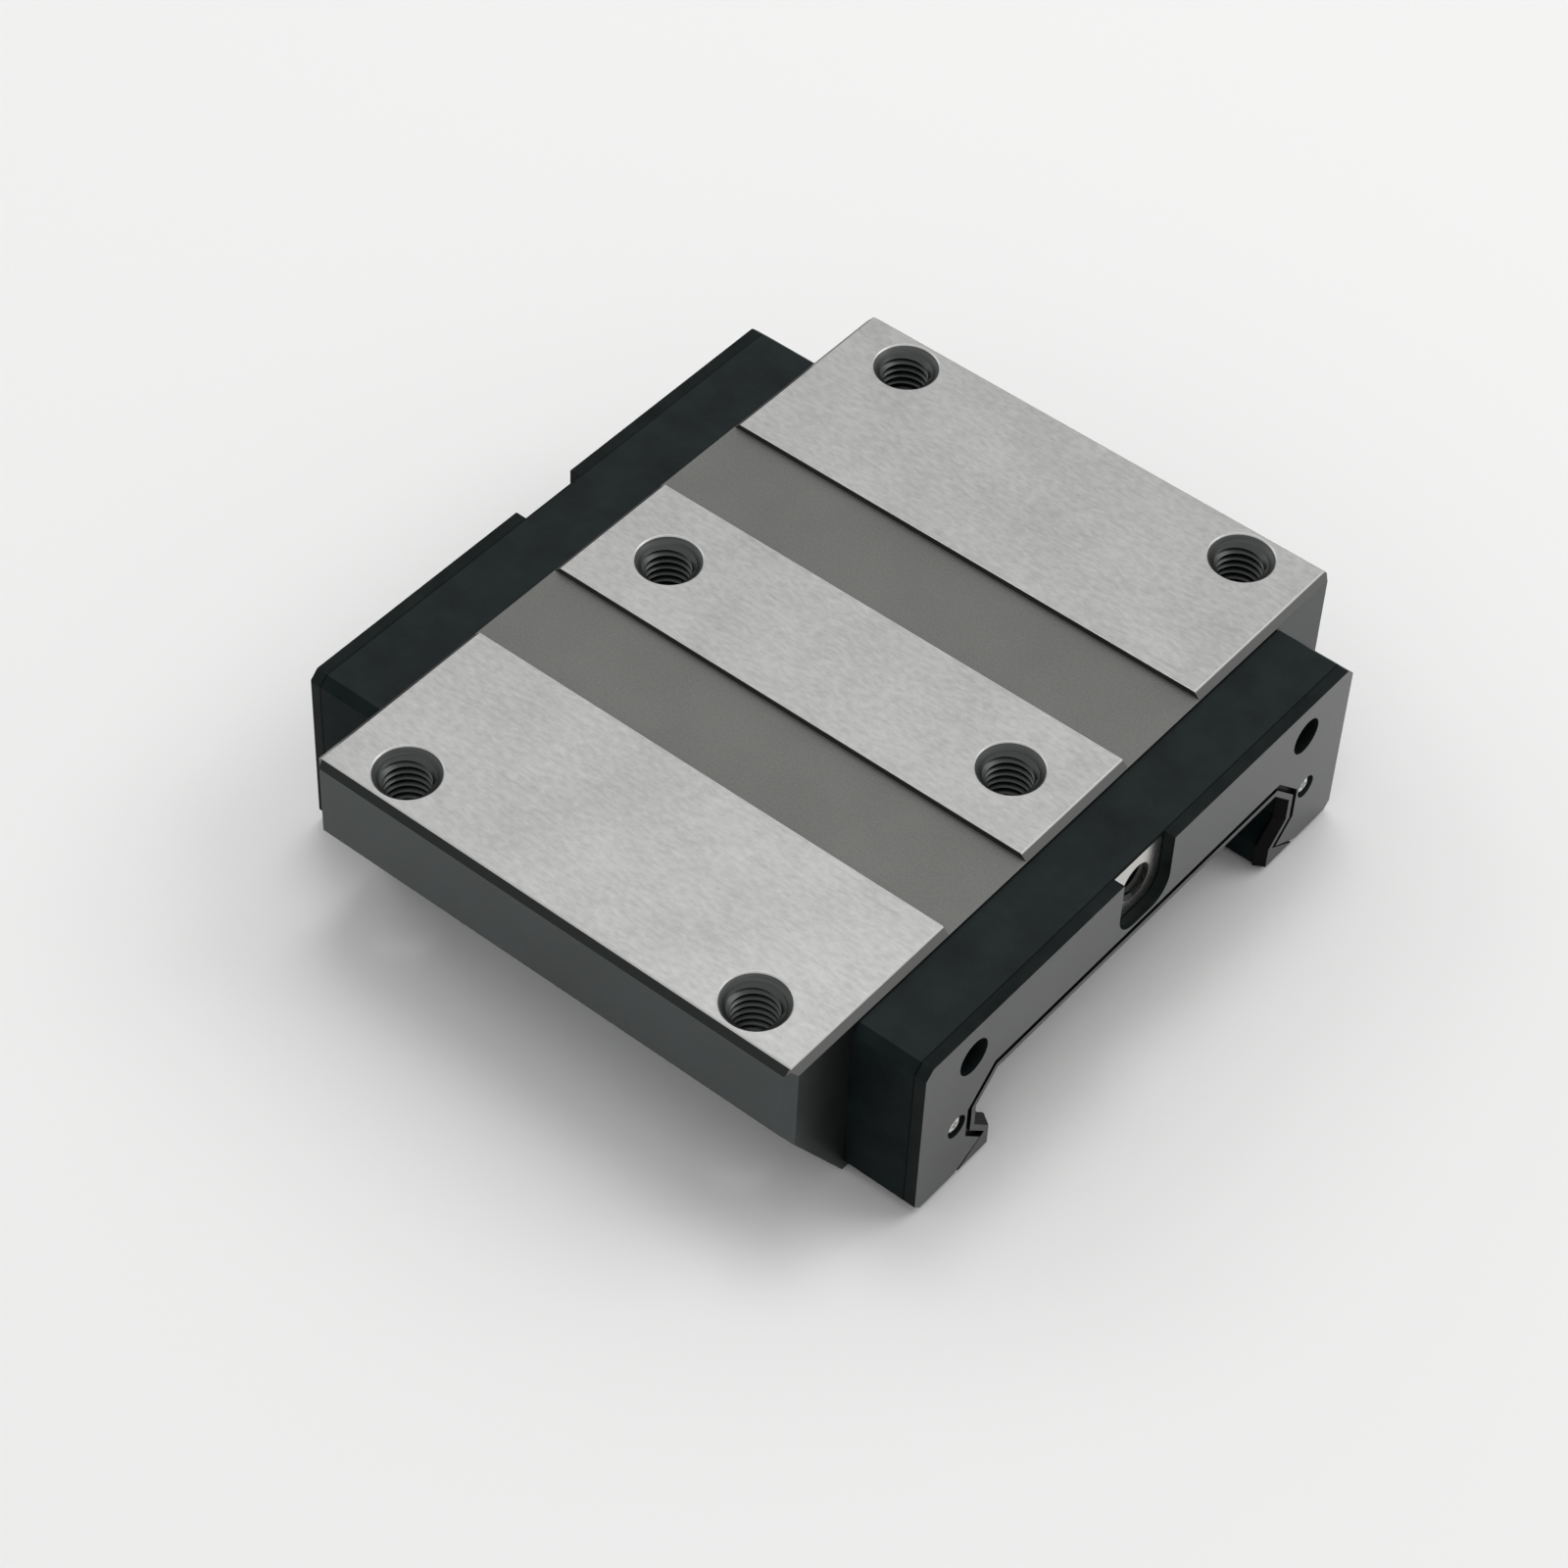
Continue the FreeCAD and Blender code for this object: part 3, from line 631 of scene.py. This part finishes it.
def moulded_plastic(name, colour, rough_low, rough_high, grain):
    """Black moulding: cloudy colour and roughness over a fine grain."""
    material, tree, shader = new_material(name)
    uneven = use_group(tree, "Uneven surface", cloud_size=160.0, grain_size=2200.0).outputs
    tint = vary(tree, uneven["Cloud"], colour, low=0.1, high=2.0)
    tree.links.new(tint, shader.inputs["Base Color"])
    rough = mix_number(tree, uneven["Cloud"], rough_low, rough_high)
    tree.links.new(rough, shader.inputs["Roughness"])
    add_bump(tree, shader, uneven["Grain"], grain, distance=0.03 * MM)
    return material


def plain_metal(name, colour, rough_low, rough_high, grain=0.12):
    """Plated or polished metal with a little unevenness."""
    material, tree, shader = new_material(name)
    uneven = use_group(tree, "Uneven surface", cloud_size=420.0, grain_size=3200.0).outputs
    tint = vary(tree, uneven["Cloud"], colour, low=0.88, high=1.08)
    tree.links.new(tint, shader.inputs["Base Color"])
    rough = mix_number(tree, uneven["Cloud"], rough_low, rough_high)
    tree.links.new(rough, shader.inputs["Roughness"])
    shader.inputs["Metallic"].default_value = 1.0
    add_bump(tree, shader, uneven["Grain"], grain, distance=0.01 * MM)
    return material


def glossy_faces(material, axis, dull, sheen, sheen_rough, beyond=0.0):
    """Lay a sheen on flat faces across an axis that lie beyond a distance; the rest stays dull."""
    tree = material.node_tree
    shader = tree.nodes["Principled BSDF"]
    faces = use_group(tree, "Flat faces", beyond=beyond).outputs
    weight = math_node(tree, "MULTIPLY", faces["Across " + axis], sheen)
    tree.links.new(weight, shader.inputs["Coat Weight"])
    shader.inputs["Coat Roughness"].default_value = sheen_rough
    shader.inputs["Specular IOR Level"].default_value = dull


def painted_seam_shade(material, start):
    """Paint shade on a moulding beyond a distance along the rail, where the next part lies against
    it: darker colour and no sheen.
    """
    tree = material.node_tree
    shader = tree.nodes["Principled BSDF"]
    distance = math_node(tree, "ABSOLUTE", split(tree, object_point(tree))["X"])
    shadow = math_node(tree, "MULTIPLY", above(tree, distance, start), SEAM_SHADOW)
    colour = shader.inputs["Base Color"]
    black = (0, 0, 0, 1)
    tree.links.new(mix_colour(tree, shadow, colour.links[0].from_socket, black), colour)
    sheen = shader.inputs["Coat Weight"]
    tree.links.new(mix_number(tree, shadow, sheen.links[0].from_socket, 0.0), sheen)


def finish_solid(name, material, edge_width=0.0):
    """Give a solid its finish, with softened edges where a width is given."""
    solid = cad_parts[name]
    solid.data.materials.clear()
    solid.data.materials.append(material)
    if edge_width <= 0:
        return
    weld = solid.modifiers.new("Weld", "WELD")
    weld.merge_threshold = 2 * SAME_POINT
    flat = solid.modifiers.new("Whole faces", "DECIMATE")
    flat.decimate_type = "DISSOLVE"
    flat.angle_limit = math.radians(0.5)
    bevel = solid.modifiers.new("Soft edges", "BEVEL")
    bevel.width = edge_width
    bevel.segments = 2
    bevel.limit_method = "ANGLE"
    bevel.angle_limit = math.radians(35)
    bevel.use_clamp_overlap = True
    bevel.harden_normals = False


# Operators

class BEARING_OT_steel(bpy.types.Operator):
    """Finish the ground steel block"""

    bl_idname = "bearing.steel"
    bl_label = "Steel block"

    def execute(self, context):
        scene = context.scene
        finish_solid("carriage_block", block_steel(scene.bearing_colours),
                     scene.bearing_sizes.edge_round)
        return {"FINISHED"}


class BEARING_OT_mounting_threads(bpy.types.Operator):
    """Cut the threads of the six mounting holes"""

    bl_idname = "bearing.mounting_threads"
    bl_label = "Mounting threads"

    def execute(self, context):
        scene = context.scene
        pitch = scene.bearing_sizes.hole_pitch
        steel = plain_metal("Thread steel", scene.bearing_colours.thread_steel,
                            rough_low=0.28, rough_high=0.38)
        for end_name, end in ENDS.items():
            for row_name, row in HOLE_ROWS.items():
                bottom = FLANGE_THREAD_BOTTOM if row else mounting_face - MIDDLE_HOLE_DEPTH
                bm = thread_ridge(pitch, HOLE_WALL_RADIUS, mounting_face, bottom,
                                  MOUNTING_THREAD_STEPS)
                countersink(bm, HOLE_MOUTH_RADIUS, mounting_face)
                place = Vector((end * HOLE_PITCH_LENGTH / 2, row * HOLE_PITCH_WIDTH / 2, 0))
                bmesh.ops.translate(bm, verts=bm.verts, vec=place)
                if row:
                    cut_at_slant(bm, row)
                add_piece(f"mounting_thread_{end_name}_{row_name}", bm, steel,
                          THREAD_CREASE)
        return {"FINISHED"}


class BEARING_OT_ports(bpy.types.Operator):
    """Finish the plated grease ports and cut their threads"""

    bl_idname = "bearing.ports"
    bl_label = "Grease ports"

    def execute(self, context):
        scene = context.scene
        pitch = scene.bearing_sizes.port_pitch
        nickel = plain_metal("Nickel plating", scene.bearing_colours.nickel,
                             rough_low=0.2, rough_high=0.28)
        # The port threads take a darker copy of the thread steel: painted shade inside the ports.
        shaded_port_thread = plain_metal("Shaded port thread", shade(scene.bearing_colours.thread_steel, 0.6),
                             rough_low=0.25, rough_high=0.35)
        for end_name, end in ENDS.items():
            finish_solid(f"grease_port_{end_name}", nickel)
            bm = thread_ridge(pitch, PORT_RADIUS, port_high.x - PORT_THREAD_FRONT,
                              port_low.x + PORT_THREAD_BACK, PORT_THREAD_STEPS)
            face_end(bm, end, (0, 0, PORT_HEIGHT))
            add_piece(f"port_thread_{end_name}", bm, shaded_port_thread, THREAD_CREASE)
        return {"FINISHED"}


class BEARING_OT_balls(bpy.types.Operator):
    """Put smooth balls where the solids have faceted ones"""

    bl_idname = "bearing.balls"
    bl_label = "Balls"

    def execute(self, context):
        scene = context.scene
        radius = scene.bearing_sizes.ball_diameter / 2
        steel = plain_metal("Ball steel", scene.bearing_colours.ball_steel,
                            rough_low=0.08, rough_high=0.16, grain=0.02)
        for side in SIDES:
            for row in BALL_ROWS:
                node = f"ball_circuit_{side}_{row}"
                bm = bmesh.new()
                for centre in ball_centres(node):
                    bmesh.ops.create_uvsphere(bm, u_segments=12, v_segments=8, radius=radius,
                                              matrix=Matrix.Translation(centre))
                piece = add_piece(f"balls_{side}_{row}", bm, steel,
                                  smooth_angle=math.radians(60))
                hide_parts(node)
        return {"FINISHED"}


class BEARING_OT_end_parts(bpy.types.Operator):
    """Finish the end plates, seals, retainers and guides"""

    bl_idname = "bearing.end_parts"
    bl_label = "End plates and seals"

    def execute(self, context):
        scene = context.scene
        colours = scene.bearing_colours
        soft = scene.bearing_sizes.moulded_round
        resin = moulded_plastic("End plate resin", colours.end_resin,
                                rough_low=0.34, rough_high=0.52, grain=0.35)
        glossy_faces(resin, "Z", dull=0.03, sheen=0.12, sheen_rough=0.43)
        # Painted shade along the seam where the seal plate lies against the end plate.
        painted_seam_shade(resin, seal_low.x - SEAM_WIDTH)
        backing = moulded_plastic("Seal plate finish", colours.seal_backing,
                                  rough_low=0.2, rough_high=0.3, grain=0.12)
        glossy_faces(backing, "X", dull=0.03, sheen=0.92, sheen_rough=0.25,
                     beyond=seal_high.x - SEAL_FACE_DEPTH)
        rubber = moulded_plastic("Seal rubber", colours.seal_rubber,
                                 rough_low=0.32, rough_high=0.42, grain=0.2)
        glossy_faces(rubber, "X", dull=0.05, sheen=0.9, sheen_rough=0.37,
                     beyond=seal_high.x - SEAL_FACE_DEPTH)
        guide = moulded_plastic("Guide resin", colours.guide_resin,
                                rough_low=0.35, rough_high=0.5, grain=0.3)
        for end in ENDS:
            finish_solid(f"end_plate_{end}", resin, soft)
            finish_solid(f"seal_plate_{end}", backing, soft)
            finish_solid(f"seal_lip_{end}", rubber)
            for side in SIDES:
                for row in BALL_ROWS:
                    finish_solid(f"return_core_{end}_{side}_{row}", guide)
        for side in SIDES:
            for strip in ("upper", "middle", "lower"):
                finish_solid(f"ball_retainer_{side}_{strip}", guide)
        return {"FINISHED"}


class BEARING_OT_screws(bpy.types.Operator):
    """Finish the cap screws and model the small screws of the seals"""

    bl_idname = "bearing.screws"
    bl_label = "Screws"

    def execute(self, context):
        colours = context.scene.bearing_colours
        oxide = plain_metal("Black oxide", colours.black_oxide, rough_low=0.3, rough_high=0.42)
        zinc = plain_metal("Zinc plating", colours.zinc, rough_low=0.4, rough_high=0.5)
        for end_name, end in ENDS.items():
            for side_name, side in SIDES.items():
                finish_solid(f"plate_screw_{end_name}_{side_name}", oxide, CAP_SCREW_ROUND)
                bm = seal_screw()
                seat = Vector((end * (seal_low.x + SEAL_SEAT_WEB), side * SEAL_SEAT_SIDE,
                               SEAL_SEAT_HEIGHT))
                face_end(bm, end, seat)
                add_piece(f"small_screw_{end_name}_{side_name}", bm, zinc,
                          smooth_angle=math.radians(30))
        return {"FINISHED"}


class BEARING_OT_stage(bpy.types.Operator):
    """Set the floor, the surroundings, the lamps and the camera"""

    bl_idname = "bearing.stage"
    bl_label = "Studio"

    def execute(self, context):
        scene = context.scene
        studio = scene.bearing_studio
        self.add_floor(scene, studio)
        self.set_world(scene, studio)
        for name, (place, width, power) in SOFTBOXES.items():
            self.add_softbox(scene, name, Vector(place), width, power)
        self.add_camera(scene, studio)
        scene.view_settings.view_transform = "Standard"
        return {"FINISHED"}

    def add_floor(self, scene, studio):
        """A round pale floor."""
        bm = bmesh.new()
        bmesh.ops.create_circle(bm, cap_ends=True, segments=64, radius=FLOOR_RADIUS)
        mesh = bpy.data.meshes.new("floor")
        bm.to_mesh(mesh)
        bm.free()
        material, _, shader = new_material("Pale floor")
        shader.inputs["Base Color"].default_value = (*studio.floor_colour, 1)
        shader.inputs["Roughness"].default_value = 0.6
        mesh.materials.append(material)
        floor = bpy.data.objects.new("floor", mesh)
        scene.collection.objects.link(floor)

    def set_world(self, scene, studio):
        """White surroundings, dimmer as a light than as what is seen or mirrored."""
        world = bpy.data.worlds.new("Plain surroundings")
        world.use_nodes = True
        scene.world = world
        tree = world.node_tree
        background = tree.nodes["Background"]
        background.inputs["Color"].default_value = (1, 1, 1, 1)
        rays = tree.nodes.new("ShaderNodeLightPath").outputs
        seen = math_node(tree, "MAXIMUM", rays["Is Camera Ray"], rays["Is Glossy Ray"])
        seen = math_node(tree, "MAXIMUM", seen, rays["Is Transmission Ray"])
        strength = mix_number(tree, seen, studio.world_strength, 1.0)
        tree.links.new(strength, background.inputs["Strength"])

    def add_softbox(self, scene, name, place, width, power):
        """A square lamp that faces the middle of the mounting face."""
        lamp = bpy.data.lights.new(name, "AREA")
        lamp.shape = "SQUARE"
        lamp.size = width
        lamp.energy = power
        box = bpy.data.objects.new(name, lamp)
        box.location = place
        box.rotation_mode = "QUATERNION"
        target = Vector((0, 0, mounting_face))
        box.rotation_quaternion = (target - place).to_track_quat("-Z", "Y")
        scene.collection.objects.link(box)

    def add_camera(self, scene, studio):
        """The camera, which looks at its aim and is turned about its own axis."""
        data = bpy.data.cameras.new("Camera")
        data.lens = studio.camera_lens
        data.sensor_width = 36
        data.clip_start = 0.01
        data.clip_end = 20
        camera = bpy.data.objects.new("Camera", data)
        place = Vector(studio.camera_place)
        level = (Vector(studio.camera_aim) - place).to_track_quat("-Z", "Y")
        camera.location = place
        camera.rotation_mode = "QUATERNION"
        camera.rotation_quaternion = level @ Quaternion((0, 0, 1), studio.camera_roll)
        scene.collection.objects.link(camera)
        scene.camera = camera


class BEARING_PT_panel(bpy.types.Panel):
    """Buttons that dress the bearing block"""

    bl_idname = "BEARING_PT_panel"
    bl_label = "Bearing block"
    bl_space_type = "VIEW_3D"
    bl_region_type = "UI"
    bl_category = "Bearing block"

    def draw(self, context):
        """A button for each operator, and a box for each group of values."""
        layout = self.layout
        for operator in OPERATORS:
            layout.operator(operator.bl_idname)
        for name in GROUPS:
            group = getattr(context.scene, name)
            box = layout.box()
            for value in group.bl_rna.properties.keys():
                if value not in {"rna_type", "name"}:
                    box.prop(group, value)


OPERATORS = (
    BEARING_OT_steel,
    BEARING_OT_mounting_threads,
    BEARING_OT_ports,
    BEARING_OT_balls,
    BEARING_OT_end_parts,
    BEARING_OT_screws,
    BEARING_OT_stage,
)
GROUPS = {
    "bearing_sizes": BearingBlockSizes,
    "bearing_colours": BearingBlockColours,
    "bearing_studio": BearingBlockStudio,
}


def register():
    """Add the values to the scene, and the operators and the panel."""
    for group in GROUPS.values():
        bpy.utils.register_class(group)
    for name, group in GROUPS.items():
        setattr(bpy.types.Scene, name, bpy.props.PointerProperty(type=group))
    for operator in OPERATORS:
        bpy.utils.register_class(operator)
    bpy.utils.register_class(BEARING_PT_panel)


def unregister():
    """Take out all that register adds."""
    bpy.utils.unregister_class(BEARING_PT_panel)
    for operator in reversed(OPERATORS):
        bpy.utils.unregister_class(operator)
    for name in GROUPS:
        delattr(bpy.types.Scene, name)
    for group in reversed(list(GROUPS.values())):
        bpy.utils.unregister_class(group)


def main():
    """Dress the block and set the stage."""
    register()
    bpy.ops.bearing.steel()
    bpy.ops.bearing.mounting_threads()
    bpy.ops.bearing.ports()
    bpy.ops.bearing.balls()
    bpy.ops.bearing.end_parts()
    bpy.ops.bearing.screws()
    bpy.ops.bearing.stage()


if __name__ == "__main__":
    main()
